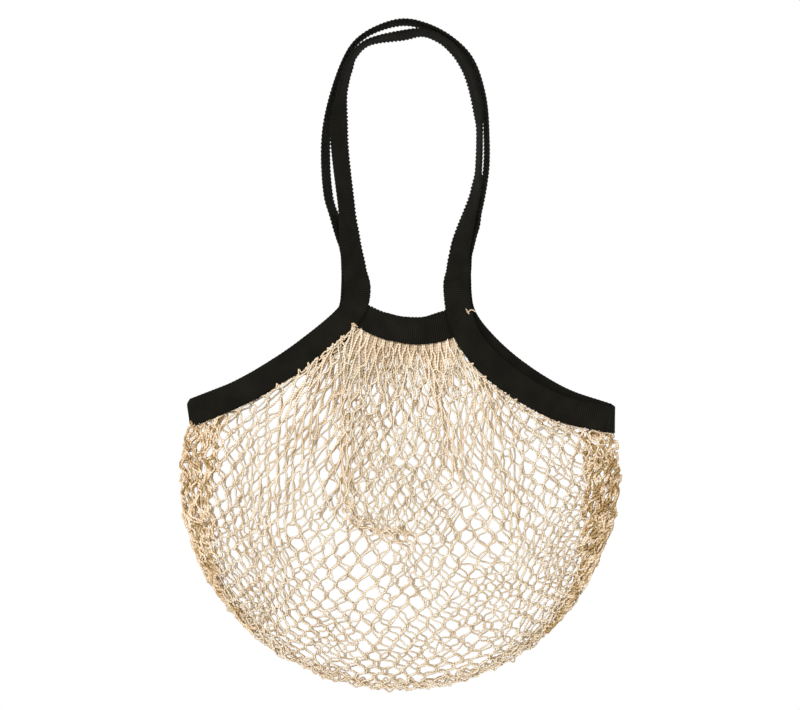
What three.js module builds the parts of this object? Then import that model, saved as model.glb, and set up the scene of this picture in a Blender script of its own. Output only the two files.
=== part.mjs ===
// String shopping bag lying flat: a netting pouch, one long tape that binds both sides of the
// mouth and runs on as the two handles, and a short tape along the front and the back of the mouth.
// Millimetres. X runs across the bag, Y from the foot of the net to the handles, Z up from the floor.
import * as THREE from 'three';

// Tape sizes
const TAPE_WIDTH = 23.5;
const TAPE_THICKNESS = 2.4;
const TAPE_EDGE = 0.9;
const TAPE_STEP = 10;

// Heights of the layers above the floor
const FRONT_HEIGHT = 11.9;
const BACK_HEIGHT = TAPE_THICKNESS / 2;

// Netting sizes
const STRING_WIDTH = 2.8;
const STRING_DEPTH = 2.4;
const COLUMNS = 17;
const ROWS = 20;
const NET_RADIUS = 202.6;
const NET_CENTRE = new THREE.Vector2(0, -106.5);
const FOOT_HALF_ANGLE = 55;
const LEFT_BULGE = 53;
const RIGHT_BULGE = 46;
const FOLD_SHARE = 0.09;
const EDGE_GAP = 2.3;
const KNOT_REACH = 2.4;

// Route of the tape over the front, from the left end of the mouth to the right end: x, y and the
// angle in degrees by which its outer edge is turned up from lying flat.
const FRONT_ROUTE = [
  [-187, -51.8, 0], [-138, -30.2, 0], [-83, 5.4, 0], [-43.5, 41.5, 0], [-39.9, 59, 3], [-42, 78, 28],
  [-46.2, 105, 39], [-49, 133, 52], [-56.2, 206, 57], [-52.3, 245, 73], [-47, 262, 81], [-41, 276, 82],
  [-30.5, 286, 81], [4, 293.4, 77], [21.5, 295.6, 82], [36.6, 290, 81], [48.9, 280.4, 77],
  [61.3, 261.7, 75], [71.4, 225, 77], [73.6, 206, 81], [72.5, 170, 80], [70, 151, 70], [55.2, 96, 42],
  [53.6, 77.7, 25], [51.8, 59.3, 0], [61.3, 20, 0], [90.5, -15.8, 0], [146, -49, 0], [190.3, -59.5, 0],
];

// The same tape over the back: under the front one at the mouth, a little outside it in the handle.
const BACK_ROUTE = [
  [-187, -51.8, 0], [-138, -30.7, 0], [-83, 5, 0], [-46, 42, 0], [-43.2, 60, 3], [-43.4, 78, 27],
  [-45.4, 96, 34], [-48.6, 105, 41], [-62.5, 133, 76], [-66.8, 151, 80], [-67.4, 206.5, 80],
  [-47.3, 274.6, 83], [-32.5, 293, 84], [0, 305, 85], [22, 301.8, 85], [46, 289.4, 84], [64.7, 270.5, 84],
  [76.2, 237, 83], [78.6, 165, 82], [71.7, 133, 75], [66.6, 114.5, 65], [58.6, 96, 45], [54.8, 77.7, 26],
  [54.2, 59.3, 0], [57, 40.5, 0], [65.2, 24.7, 0], [97.3, -8.5, 0], [147.2, -41, 0], [190.3, -56.4, 0],
];

// The tapes along the middle of the mouth run from one side of the strap to the other: where each of
// their corners meets the strap, as a share of its route, and the sagging edges in between.
const FRONT_JOINTS = { leftTop: 0.1915, leftLow: 0.174, rightTop: 0.807, rightLow: 0.833 };
const BACK_JOINTS = { leftTop: 0.187, leftLow: 0.17, rightTop: 0.818, rightLow: 0.841 };
const MOUTH_TOP = [[-12, 37.8], [3, 34.7], [20, 34.1]];
const MOUTH_LOW = [[-24, 17.6], [-9, 12.8], [14, 9.3]];
const JOINT_GAP = 1.7;

// Shares of each edge where the netting hangs from the tapes.
const LEFT_BAND_STATIONS = [0, 0.05, 0.095, 0.135];
const MOUTH_STATIONS = [0.18, 0.4, 0.6, 0.82];
const RIGHT_BAND_STATIONS = [0.87, 0.91, 0.955, 1];

const TAPE_COLOUR = 0x1b1b17;
const STRING_COLOUR = 0xe3c79f;

const UP = new THREE.Vector3(0, 0, 1);
const toRadians = THREE.MathUtils.degToRad;

// Curves

function curveThrough(points) {
  return new THREE.CatmullRomCurve3(points, false, 'centripetal');
}

function planCurve(route) {
  return curveThrough(route.map(([x, y]) => new THREE.Vector3(x, y, 0)));
}

// The turned-up angle at a share of a route, smoothed between the listed points.
function angleAlong(route, share, curve) {
  const parameter = curve.getUtoTmapping(share) * (route.length - 1);
  const index = Math.min(Math.floor(parameter), route.length - 2);
  const blend = THREE.MathUtils.smoothstep(parameter - index, 0, 1);
  return toRadians(THREE.MathUtils.lerp(route[index][2] ?? 0, route[index + 1][2] ?? 0, blend));
}

// Direction in plan from a left-to-right route towards the net.
function inwardDirection(curve, share) {
  const along = curve.getTangentAt(share);
  return new THREE.Vector3(along.y, -along.x, 0).normalize();
}

// Tape

function tapeOutline(width) {
  const half = width / 2;
  const deep = TAPE_THICKNESS / 2;
  const flat = half - TAPE_EDGE;
  return [[half, 0], [flat, deep], [-flat, deep], [-half, 0], [-flat, -deep], [flat, -deep]];
}

// One section of tape: its centre, the direction of its inner edge and of its outward face.
function section(centre, inner, face, width = TAPE_WIDTH) {
  return tapeOutline(width).map(([across, out]) => (
    centre.clone().addScaledVector(inner, across).addScaledVector(face, out)
  ));
}

function strapSections(route, isFront) {
  const curve = planCurve(route);
  const count = Math.round(curve.getLength() / TAPE_STEP);
  const sections = [];
  for (let i = 0; i <= count; i += 1) {
    const share = i / count;
    const angle = angleAlong(route, share, curve);
    const inward = inwardDirection(curve, share);
    const inner = inward.clone().multiplyScalar(Math.cos(angle)).addScaledVector(UP, -Math.sin(angle));
    const face = UP.clone().multiplyScalar(Math.cos(angle)).addScaledVector(inward, Math.sin(angle));
    const centre = curve.getPointAt(share);
    const onEdge = BACK_HEIGHT * Math.cos(angle) + (TAPE_WIDTH / 2) * Math.sin(angle);
    centre.z = isFront ? Math.max(FRONT_HEIGHT, onEdge) : onEdge;
    sections.push(section(centre, inner, isFront ? face : face.negate()));
  }
  return sections;
}

// The tape turns over at each end of the mouth, from the front to the back.
function turnSections(share, outwardSign) {
  const front = planCurve(FRONT_ROUTE);
  const back = planCurve(BACK_ROUTE);
  const inner = inwardDirection(front, share);
  const outward = front.getTangentAt(share).multiplyScalar(outwardSign);
  const radius = (FRONT_HEIGHT - BACK_HEIGHT) / 2;
  const sections = [];
  for (const degrees of [30, 60, 90, 120, 150]) {
    const angle = toRadians(degrees);
    const centre = front.getPointAt(share).lerp(back.getPointAt(share), degrees / 180);
    centre.addScaledVector(outward, radius * Math.sin(angle));
    centre.z = BACK_HEIGHT + radius + radius * Math.cos(angle);
    const face = UP.clone().multiplyScalar(Math.cos(angle)).addScaledVector(outward, Math.sin(angle));
    sections.push(section(centre, inner, face));
  }
  return sections;
}

// Skin round a run of sections, joined into a ring or closed with an end at each side.
function loft(sections, isRing) {
  const size = sections[0].length;
  const positions = sections.flat().flatMap((point) => point.toArray());
  const faces = [];
  const last = isRing ? sections.length : sections.length - 1;
  for (let i = 0; i < last; i += 1) {
    const here = i * size;
    const next = ((i + 1) % sections.length) * size;
    for (let k = 0; k < size; k += 1) {
      const l = (k + 1) % size;
      faces.push(here + k, here + l, next + l, here + k, next + l, next + k);
    }
  }
  const end = (sections.length - 1) * size;
  for (let k = 1; !isRing && k < size - 1; k += 1) {
    faces.push(0, k + 1, k, end, end + k, end + k + 1);
  }
  return closedGeometry(positions, faces);
}

// Geometry from points and faces, turned right side out if the faces look inwards.
function closedGeometry(positions, faces) {
  const corner = (index) => new THREE.Vector3().fromArray(positions, index * 3);
  let volume = 0;
  for (let f = 0; f < faces.length; f += 3) {
    volume += corner(faces[f]).dot(corner(faces[f + 1]).cross(corner(faces[f + 2])));
  }
  const geometry = new THREE.BufferGeometry();
  geometry.setAttribute('position', new THREE.Float32BufferAttribute(positions, 3));
  geometry.setIndex(volume > 0 ? faces : faces.slice().reverse());
  geometry.computeVertexNormals();
  return geometry;
}

function strapGeometry() {
  const ring = [
    ...strapSections(FRONT_ROUTE, true),
    ...turnSections(1, 1),
    ...strapSections(BACK_ROUTE, false).reverse(),
    ...turnSections(0, -1).reverse(),
  ];
  return loft(ring, true);
}

// Point a little inside the strap's inner edge.
function besideStrap(curve, share, gap) {
  return curve.getPointAt(share).addScaledVector(inwardDirection(curve, share), TAPE_WIDTH / 2 + gap);
}

// Upper and lower edge of a mouth tape in plan.
function mouthTapeEdges(route, joints) {
  const strap = planCurve(route);
  const edge = (left, sag, right) => curveThrough([
    besideStrap(strap, left, JOINT_GAP),
    ...sag.map(([x, y]) => new THREE.Vector3(x, y, 0)),
    besideStrap(strap, right, JOINT_GAP),
  ]);
  return {
    top: edge(joints.leftTop, MOUTH_TOP, joints.rightTop),
    low: edge(joints.leftLow, MOUTH_LOW, joints.rightLow),
  };
}

// A mouth tape spans the strap at both ends, which it is sewn to.
function mouthTapeGeometry(route, joints, height) {
  const { top, low } = mouthTapeEdges(route, joints);
  const count = Math.round(low.getLength() / TAPE_STEP) + 2;
  const sections = [];
  for (let i = 0; i <= count; i += 1) {
    const upper = top.getPointAt(i / count);
    const across = low.getPointAt(i / count).sub(upper);
    const centre = upper.clone().addScaledVector(across, 0.5);
    centre.z = height;
    sections.push(section(centre, across.clone().normalize(), UP, across.length()));
  }
  return loft(sections, false);
}

// Netting

// Line just below the tapes where the netting is held.
function mouthEdge(route, joints) {
  const strap = planCurve(route);
  const { low } = mouthTapeEdges(route, joints);
  const belowStrap = (share) => besideStrap(strap, share, EDGE_GAP);
  const belowMouthTape = (share) => (
    low.getPointAt(share).addScaledVector(inwardDirection(low, share), EDGE_GAP)
  );
  return curveThrough([
    ...LEFT_BAND_STATIONS.map(belowStrap),
    ...MOUTH_STATIONS.map(belowMouthTape),
    ...RIGHT_BAND_STATIONS.map(belowStrap),
  ]);
}

// Columns crowd together at the middle of the mouth.
function mouthShare(across) {
  return across + 0.085 * Math.sin(2 * Math.PI * across);
}

// Columns spread wide at the middle of the foot and crowd together towards its corners.
function footPoint(across) {
  const spread = 2 * across - 1;
  const angle = toRadians(270 + FOOT_HALF_ANGLE * spread * (1.25 - 0.25 * spread * spread));
  const direction = new THREE.Vector2(Math.cos(angle), Math.sin(angle));
  const point = NET_CENTRE.clone().addScaledVector(direction, NET_RADIUS);
  return new THREE.Vector3(point.x, point.y, 0);
}

// A point of the net: across from left to right, down from the mouth to the foot; layer is 1 on the
// front and -1 on the back. The layers meet at both sides and along the foot.
function netPoint(across, down, layer, edge) {
  const start = edge.getPointAt(THREE.MathUtils.clamp(mouthShare(across), 0, 1));
  const finish = footPoint(across);
  const chord = finish.clone().sub(start);
  const outward = new THREE.Vector3(chord.y, -chord.x, 0).normalize();
  const spread = 2 * across - 1;
  const bulge = -(spread < 0 ? LEFT_BULGE : RIGHT_BULGE) * spread * Math.abs(spread);
  const bend = start.clone().add(finish).multiplyScalar(0.5).addScaledVector(outward, bulge);
  const along = down * (1.25 - 0.25 * down);
  const point = new THREE.QuadraticBezierCurve3(start, bend, finish).getPoint(along);
  const toFold = Math.min(1, across / FOLD_SHARE, (1 - across) / FOLD_SHARE, (1 - down) / FOLD_SHARE);
  const rise = Math.sqrt(1 - (1 - toFold) ** 2);
  const low = STRING_DEPTH / 2;
  const middle = (FRONT_HEIGHT + low) / 2;
  point.z = middle + layer * rise * (FRONT_HEIGHT - low) / 2;
  return point;
}

// Knots round the pouch in half-column steps: the front from left to right, then the back.
function netKnots() {
  const around = 4 * COLUMNS;
  const edges = { 1: mouthEdge(FRONT_ROUTE, FRONT_JOINTS), '-1': mouthEdge(BACK_ROUTE, BACK_JOINTS) };
  const knots = new Map();
  const nameOf = (step, row) => {
    const turn = ((step % around) + around) % around;
    const folded = row === ROWS && turn > around / 2 ? around - turn : turn;
    return `${folded}:${row}`;
  };
  for (let row = 0; row <= ROWS; row += 1) {
    for (let step = row % 2; step < around; step += 2) {
      const isFront = step <= around / 2;
      const across = (isFront ? step : around - step) / (around / 2);
      const layer = isFront ? 1 : -1;
      const isFoot = row === ROWS;
      const above = row > 0 ? [nameOf(step + 1, row - 1), nameOf(step - 1, row - 1)] : [];
      const beneath = isFoot ? [] : [nameOf(step - 1, row + 1), nameOf(step + 1, row + 1)];
      const mirrored = around - step;
      const overFoot = isFoot && across > 0 && across < 1
        ? [nameOf(mirrored + 1, row - 1), nameOf(mirrored - 1, row - 1)]
        : [];
      const name = nameOf(step, row);
      if (!knots.has(name)) {
        const point = netPoint(across, row / ROWS, layer, edges[layer]);
        knots.set(name, { point, neighbours: [...above, ...overFoot, ...beneath] });
      }
    }
  }
  return knots;
}

// Outward direction at a knot, square to the strings that meet there.
function knotNormal(knot, knots) {
  const normal = new THREE.Vector3();
  const arms = knot.neighbours.map((name) => knots.get(name).point.clone().sub(knot.point).normalize());
  const pairs = arms.length > 2 ? arms.length : 1;
  for (let i = 0; i < pairs; i += 1) {
    normal.add(arms[i].clone().cross(arms[(i + 1) % arms.length]));
  }
  return normal.normalize();
}

// Corners of a knot between each string and the next one round it, level with the strings' faces.
function knotCorners(knot, knots, normal) {
  const half = STRING_WIDTH / 2;
  const arms = knot.neighbours.map((name) => {
    const arm = knots.get(name).point.clone().sub(knot.point);
    return arm.addScaledVector(normal, -arm.dot(normal)).normalize();
  });
  return arms.map((arm, i) => {
    const next = arms[(i + 1) % arms.length];
    const turn = Math.atan2(arm.clone().cross(next).dot(normal), arm.dot(next));
    const wide = (turn <= 0 ? turn + 2 * Math.PI : turn) / 2;
    const limit = wide > Math.PI / 2 ? half : half * KNOT_REACH;
    const reach = Math.min(half / Math.max(Math.sin(wide), 0.01), limit);
    const towards = arm.clone().applyAxisAngle(normal, wide);
    return knot.point.clone().addScaledVector(towards, reach).addScaledVector(normal, STRING_DEPTH / 2);
  });
}

// The netting as one solid: every string has a flat outward face and a keel on its inner side.
function netGeometry() {
  const knots = netKnots();
  const positions = [];
  const faces = [];
  for (const knot of knots.values()) {
    const normal = knotNormal(knot, knots);
    knot.first = positions.length / 3;
    for (const corner of knotCorners(knot, knots, normal)) {
      positions.push(...corner.toArray());
    }
    knot.keel = positions.length / 3;
    positions.push(...knot.point.clone().addScaledVector(normal, -STRING_DEPTH / 2).toArray());
    for (let k = 1; k < knot.neighbours.length - 1; k += 1) {
      faces.push(knot.first, knot.first + k, knot.first + k + 1);
    }
  }
  // Corner just before or just after one of a knot's strings, counted round the knot.
  const cornerAt = (knot, index) => knot.first + ((index + knot.neighbours.length) % knot.neighbours.length);
  for (const [name, knot] of knots) {
    knot.neighbours.forEach((otherName, i) => {
      if (otherName < name) return;
      const other = knots.get(otherName);
      const j = other.neighbours.indexOf(name);
      const right = cornerAt(knot, i - 1);
      const left = cornerAt(knot, i);
      const farLeft = cornerAt(other, j - 1);
      const farRight = cornerAt(other, j);
      faces.push(right, farRight, farLeft, right, farLeft, left);
      faces.push(left, farLeft, other.keel, left, other.keel, knot.keel);
      faces.push(farRight, right, knot.keel, farRight, knot.keel, other.keel);
    });
  }
  return closedGeometry(positions, faces);
}

// Scene graph

function fabric(colour, roughness) {
  return new THREE.MeshStandardMaterial({ color: colour, roughness, metalness: 0 });
}

function named(name, geometry, material) {
  const mesh = new THREE.Mesh(geometry, material);
  mesh.name = name;
  return mesh;
}

const tapeFabric = fabric(TAPE_COLOUR, 0.9);
const stringFabric = fabric(STRING_COLOUR, 0.95);

const bag = new THREE.Group();
bag.name = 'string_shopping_bag';
bag.add(named('net', netGeometry(), stringFabric));
bag.add(named('strap', strapGeometry(), tapeFabric));
bag.add(named('mouth_tape_front', mouthTapeGeometry(FRONT_ROUTE, FRONT_JOINTS, FRONT_HEIGHT), tapeFabric));
bag.add(named('mouth_tape_back', mouthTapeGeometry(BACK_ROUTE, BACK_JOINTS, BACK_HEIGHT), tapeFabric));

// The whole rests on the floor with its middle over the origin.
const box = new THREE.Box3().setFromObject(bag);
const middle = box.getCenter(new THREE.Vector3());
bag.position.set(-middle.x, -middle.y, -box.min.z);

export default bag;
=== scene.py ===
"""Visual model of a string shopping bag lying flat, seen from straight above.

The net is made of zigzag strings that touch their neighbours at every knot. A folded ribbed tape binds
both sides of the mouth and runs on as the two handles; short tapes bind the middle of the mouth.
Sizes are in millimetres until a mesh is made.
"""
import math

import bpy
import numpy as np
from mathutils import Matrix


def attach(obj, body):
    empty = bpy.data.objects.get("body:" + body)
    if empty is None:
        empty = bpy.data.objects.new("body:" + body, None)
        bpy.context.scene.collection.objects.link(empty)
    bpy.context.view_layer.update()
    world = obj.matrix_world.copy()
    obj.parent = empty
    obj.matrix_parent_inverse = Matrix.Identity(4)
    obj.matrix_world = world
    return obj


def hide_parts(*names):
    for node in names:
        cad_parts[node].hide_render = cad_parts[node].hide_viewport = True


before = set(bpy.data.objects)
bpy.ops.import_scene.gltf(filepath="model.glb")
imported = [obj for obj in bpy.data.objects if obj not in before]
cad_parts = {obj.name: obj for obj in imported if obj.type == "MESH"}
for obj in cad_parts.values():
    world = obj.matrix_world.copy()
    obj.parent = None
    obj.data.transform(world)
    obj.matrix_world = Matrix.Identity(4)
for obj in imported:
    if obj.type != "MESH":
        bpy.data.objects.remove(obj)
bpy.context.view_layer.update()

# Placing: the solids are centred over the origin, which moves them by this much
PLACE = np.array([0.02, 1.41, 0.09])
MM = 0.001

# Used all over: upwards, a full turn, the steps between two points of a curve, the seed of all random draws,
# the least length to divide by and a nudge that gives an upright string a side
UP = np.array([0.0, 0.0, 1.0])
FULL_TURN = 2 * math.pi
SPAN_STEPS = 40
SEED = 11
LEAST_LENGTH = 1e-9
NUDGE = 1e-6

# Tape sizes
TAPE_WIDTH = 23.5
TAPE_THICKNESS = 2.4
TAPE_STEP = 0.85
FRONT_HEIGHT = 11.9
BACK_HEIGHT = TAPE_THICKNESS / 2

# The tape across its width: places in from its inner edge, from its middle and in from its fold, each with
# the distance from the middle of its thickness, and the slit between its plies
LIP = [(0.0, 0.3), (0.0, 0.75), (0.5, 1.12)]
CROWN = [(8.5, 1.2), (3.0, 1.16), (-3.0, 1.16), (-8.5, 1.2)]
FOLD = [(0.8, 1.0), (0.15, 0.5)]
SLIT = [(1.5, -0.12), (5.0, 0.0), (1.5, 0.12)]

# Teeth along the inner edge of the tape and bumps along its fold, uneven from place to place
SCALLOP_PITCH = 3.6
SCALLOP_DEPTH = 1.45
SCALLOP_SWELL = 0.6
SCALLOP_POWER = 0.7
SCALLOP_MEAN = 0.57
LOWER_PLY_PHASE = 0.4
EDGE_BAND = 0.6
FOLD_BAND = 0.9
FOLD_BUMP = 0.45
MOUTH_EDGE_BUMP = 2.2
UNEVEN_MEAN = 0.9
UNEVEN_SHARE = 0.4
UNEVEN_LENGTHS = (6.1, 9.7)

# Ends of the strap, where it turns over to the back, and ends of the mouth tapes, which go under the strap
TURN_STEPS = 22
LEFT_END_ROUNDING = 0.24
END_SKEW = 0.22
UNDER_STRAP = 9.0
TUCK_DEPTH = 2.6
TUCKED_SHARE = 0.1
TUCK_EASE = 0.16

# String and knot sizes: a leg is the string from one knot to the next
STRING_RADIUS = 0.82
STRING_SIDES = 6
KNOT_LENGTH = 3.7
KNOT_SHARE = 0.3
KNOT_OFFSET = 0.95
LEG_LENGTH = 14.5
LEG_POINTS = (0.2, 0.4, 0.6, 0.8)
LEG_PULL = 0.55
LEG_SWAY = 0.9
SLACK_SHARE = 0.3
LEAST_SLACK = 0.8
MOST_SLACK = 0.25
BOW_HEIGHT = 0.7
STRING_JITTER = 0.16
RADIUS_JITTER = 0.07
END_TAPER = 0.1

# Strings close up where the meshes are narrow: the widths between which they do, and what that changes,
# including painted shade on closed strings and more of it on deeper ones
CLOSED_WIDTH = 6.5
CLOSED_EASE = 6.0
SHADE_EASE = 3.5
STRIP_CLOSED = 0.95
CLOSED_SLACK = 0.15
CLOSED_STEADINESS = 0.7
CLOSED_THICKENING = 0.25
CLOSED_PAINTED_SHADE = 0.5
DEPTH_PAINTED_SHADE = 0.25
HEAD_POINTS = 9
HEAD_THICKENING = 0.12

# Netting sizes: the round outline, drawn in at the lower right, and the heights of the layers and their edges
COLUMNS = 34
ROWS = 30
WHOLE_NET = (0, COLUMNS, ROWS, 0)
NET_RADIUS = 202.6
NET_CENTRE = np.array([0.0, -106.5])
DRAWN_IN = 2.6
DRAWN_IN_ANGLE = 332
DRAWN_IN_SPREAD = 16
NET_FRONT_HEIGHT = 11.0
NET_BACK_HEIGHT = 1.2
MIDDLE_HEIGHT = (NET_FRONT_HEIGHT + NET_BACK_HEIGHT) / 2
UNDER_TAPE_HEIGHT = 9.6
ABOVE_TAPE = 0.6
OVER_TAPE_HEIGHT = FRONT_HEIGHT + TAPE_THICKNESS / 2 + ABOVE_TAPE
EDGE_HEIGHTS = {1: UNDER_TAPE_HEIGHT, 0: MIDDLE_HEIGHT, -1: BACK_HEIGHT}
TUCK_INTO_TAPE = 5.0
LAP_TUCK = 0.6
END_OVERHANG = 7.5

# How the columns of the net are spread: column number against place half way down, angle round the foot
# and the row that the column starts with. Columns 0 to 3 and 31 to 34 make the side strips, 3 to 11 and 24
# to 31 hang from the side tapes, closer together towards the mouth, and 11 to 24 hang from the mouth tape.
# What is special to the mouth or to a strip fades at its edge over a column or two.
COLUMN_MARKS = [0, 3, 7, 11, 24, 27, 31, 34]
STRIP_SHARE = 0.085
SIDE_SPREAD = 0.64
HALF_WAY_X = [-201.5, -179.0, -136.0, -95.0, 95.0, 130.0, 177.0, 201.5]
HALF_WAY_Y = [-122.0, -148.0, -152.0, -153.0, -153.0, -152.0, -148.0, -122.0]
FOOT_ANGLES = [200.0, 215.0, 228.0, 240.0, 300.0, 312.0, 325.0, 340.0]
START_ROWS = [8, 7, 3.5, 0, 0, 3, 6.5, 7.5]
MOUTH_FADE = 1.5
STRIP_FADE = 1.5
STRIP_MARGIN = 0.5

# The first row hangs long and closed below the mouth tape, the last rows crowd together at the foot
FIRST_ROW_AT_MOUTH = 0.05
GATHERED_SHARES = (0.12, 0.6)
GATHER_UNEVENNESS = 0.014
GATHER_REACH = 0.35
FIRST_ROW_AT_SIDES = 0.036
FOOT_CROWDING = 1.25

# How the knots stray from their plan: freely in the middle, less towards the outline, the foot and the tapes
OUTLINE_COLUMNS = 3
FOOT_EASE = 9
TAPE_EASE = 7
OUTLINE_EASE = 6
OUTLINE_JITTER = 1.4
DRIFT = 3.5
DRIFT_WAVES = 9
DRIFT_LENGTHS = (60, 160)
KNOT_JITTER = 0.9
HEIGHT_JITTER = 0.6
STRIP_HEIGHT_JITTER = 0.5
STRIP_DROP = 1.8

# The back lies half a column aside from the front, apart from a patch where both lie together: its middle
# and its reach, in columns and in shares of the way down
BACK_SHIFT = 0.5
PATCH_MIDDLE = (13.6, 0.74)
PATCH_REACH = (7.4, 0.24)

# Pleats in the front of the net: one falls from the left end of the mouth tape and curls to the right,
# the other falls from its right end
PLEATS = [
    [(-46, 6), (-50, -48), (-49, -134), (-38, -152), (-18, -162), (6, -168)],
    [(26, 2), (37, -42), (48, -88), (57, -118)],
]
PLEAT_SAMPLES = 90
PLEAT_WIDTH = 18.0
PLEAT_PULL = 0.55

# The net lies over the edge of the left side tape: columns between which it does, how far, and the share of
# that at the first column
LAP_COLUMNS = (7.0, 11.3)
LAP = 1.6
LAP_START = 0.3

# Strings along the edge of the net that rise to narrow tips over the edge of the strap. Each row has the
# first and last share of the strap's route, how far the tips lie from its edge, towards the net, the
# distance between tips and their depth. On each side of its point a tip takes up a share of that distance,
# and it leans along the strap. The string is thinner than those of the net by a factor, most so at a tip.
# Heights are drawn for more tips than are used: counted from the string's end, they start with FIRST_TIP.
EDGE_LOOPS = [
    (0.072, 0.177, -3.4, 17.0, 5.0), (0.132, 0.177, -4.2, 13.0, 4.0), (0.11, 0.177, -0.6, 15.0, 5.0),
    (0.13, 0.177, 2.0, 14.0, 6.0), (0.838, 0.955, -1.6, 15.0, 4.0), (0.86, 0.965, 0.6, 18.0, 5.0),
]
LOOP_STEPS = 320
LOOP_SHARE = 0.13
LOOP_LEAN = 1.6
LOOP_STRING_FACTOR = 0.85
LOOP_NARROWING = 0.3
# Painted shade of the edge strings
LOOP_PAINTED_SHADE = 0.6
TIP_DRAWS = 60
FIRST_TIP = 20
TIP_HEIGHTS = (0.5, 1.0)

# The front of the net is folded under itself below and beside the mouth: first column, last column, last row
# and shift in columns of each folded layer, and the line and strings of the fold's edge
FOLDS = [(13, 21, 14, 0.28), (11, 24, 3, -0.24), (11, 24, 2, 0.5)]
SIDE_FOLDS = [(8, 11, 5, 0.3), (22, 25, 3, -0.3), (11, 14, 12, 0.3), (27, 31, 8, 0.35)]
FOLD_NARROWING = 0.86
FOLD_EASE = 3
FOLD_EDGE = [(-50, -140), (-38, -154), (-22, -161), (-4, -166), (8, -167)]
FOLD_STRINGS = 5
FOLD_STEPS = 90
FOLD_SPACING = 2.6
FOLD_HEIGHT = 9.5
# Painted shade of the strings along the fold's edge
FOLD_PAINTED_SHADE = 0.7

# Strings along the foot, between two angles round the outline
RIM_STRINGS = 5
RIM_STEPS = 340
RIM_ANGLES = (196, 344)
RIM_INSET = 1.4
RIM_SPACING = 1.6
RIM_HEIGHT = 6.0
# Painted shade of the rim strings
RIM_PAINTED_SHADE = 0.5

# Twisted ropes in the side strips, where the net is crowded together: the angles at which the widths of the
# strips are listed, and the angle at which each rope ends. The right side is laid out like the left one and
# then mirrored. The strings are thicker than those of the net by a factor. Each side has a level of painted
# shade, darker on the right.
ROPES = 6
ROPE_STEPS = 260
ROPE_TURN = 18.0
ROPE_RADIUS = 1.7
ROPE_HEIGHT = 10.4
ROPE_ANGLES = [161, 180, 192, 203, 213, 240]
ROPE_ENDS = [228, 221, 215, 210, 205, 200]
LEFT_STRIP = {"start": 162, "widths": [35, 31, 25, 19, 13, 8], "rope_shade": 1.18, "mirrored": False}
RIGHT_STRIP = {"start": 168, "widths": [34, 32, 29, 24, 15, 9], "rope_shade": 1.68, "mirrored": True}
MIRROR_ANGLE = 540
TOP_INSET = 12.0
TOP_INSET_FADE = 7.0
OUTER_MARGIN = 0.5
INNER_MARGIN = 2.0
LEAST_INSIDE = 0.8
START_DROP = 4.0
START_LENGTH = 30.0
ROPE_STRING_FACTOR = 1.5
ROPE_STRING_JITTER = 0.1

# Waves along the single strings: their size and lengths
LOOP_SHIFT = (0.2, 31, 47)
LOOP_ASIDE = (0.5, 9, 16)
FOLD_ASIDE = (2.4, 19, 28, 41)
FOLD_RISE = (2.0, 15, 26)
RIM_ASIDE = (2.3, 9, 12, 17, 60)
RIM_RISE = (4.0, 11, 17, 31)
ROPE_ASIDE = (2.1, 23, 31, 43, 70)
ROPE_TWIST = (2.2, 29, 47, 60)
ROPE_RISE = (1.0, 19, 33)
ROPE_WIDENING = (0.45, 13, 27, 52)
STRAND_ASIDE = (0.6, 9, 14)
STRAND_SHADE = (0.8, 13, 21, 38)

# A loose end of thread on the right of the mouth: the middle lines of its two strands
LOOSE_THREAD = [[(60.5, 42), (62, 39.2), (63.6, 37.2)], [(61.6, 38.2), (65.4, 41), (69.6, 39)]]
THREAD_POINTS = 14
THREAD_RADIUS = 0.5

# Route of the strap over the front and over the back: x, y and turned-up angle
FRONT_ROUTE = [
    (-189, -53.2, 0), (-138, -30.2, 0), (-83, 5.4, 0), (-43.5, 41.5, 0), (-39, 59, 3), (-41.8, 78, 28),
    (-46.2, 105, 39), (-49, 133, 52), (-56.2, 206, 50), (-52.3, 245, 73), (-47.7, 262, 76),
    (-41.9, 275.2, 83), (-30.5, 286, 85), (4, 293.4, 77), (21.5, 295.6, 82), (36.6, 290, 81),
    (48.9, 280.4, 77), (61.6, 261.7, 74), (71.9, 225, 72), (73.1, 206, 81), (72.2, 170, 80), (70, 151, 70),
    (55.2, 96, 42), (53.6, 77.7, 25), (51.8, 59.3, 0), (60.8, 19.6, 0), (90.5, -15.8, 0), (146, -49, 0),
    (191.6, -59.8, 0),
]
BACK_ROUTE = [
    (-189, -51.6, 0), (-138, -30.7, 0), (-106, -10.8, 0), (-79, 1.6, 0), (-60, 16, 0), (-53, 23.2, 0),
    (-44, 46, 0), (-43.4, 78, 27), (-45.4, 96, 34), (-48.6, 105, 41), (-62.5, 133, 74), (-66.6, 151, 74),
    (-67.2, 206.5, 75), (-48.7, 274.6, 87), (-32.5, 293, 88), (0, 305, 85), (22, 301.8, 85),
    (46, 289.4, 84), (64.7, 270.5, 84), (76.2, 237, 83), (79.6, 198, 83), (78.6, 165, 82), (71.7, 133, 75),
    (66.6, 114.5, 65), (58.6, 96, 45), (54.8, 77.7, 26), (54.2, 59.3, 0), (57, 40.5, 0), (65.2, 24.7, 0),
    (97.3, -8.5, 0), (147.2, -41, 0), (191.6, -56.8, 0),
]
ROUTE_SAMPLES = 1200

# Where the corners of the mouth tapes meet the strap, as shares of its route, and their sagging edges
FRONT_JOINTS = {"left_top": 0.195, "left_low": 0.1738, "right_top": 0.806, "right_low": 0.832}
BACK_JOINTS = {"left_top": 0.187, "left_low": 0.17, "right_top": 0.817, "right_low": 0.84}
MOUTH_TOP = [(-12, 37.8), (3, 34.7), (20, 34.1)]
MOUTH_LOW = [(-24, 17.6), (-9, 12.8), (14, 9.3), (35, 11.4)]
HANG_STEPS = 40
HANG_SAMPLES = 1500
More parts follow.
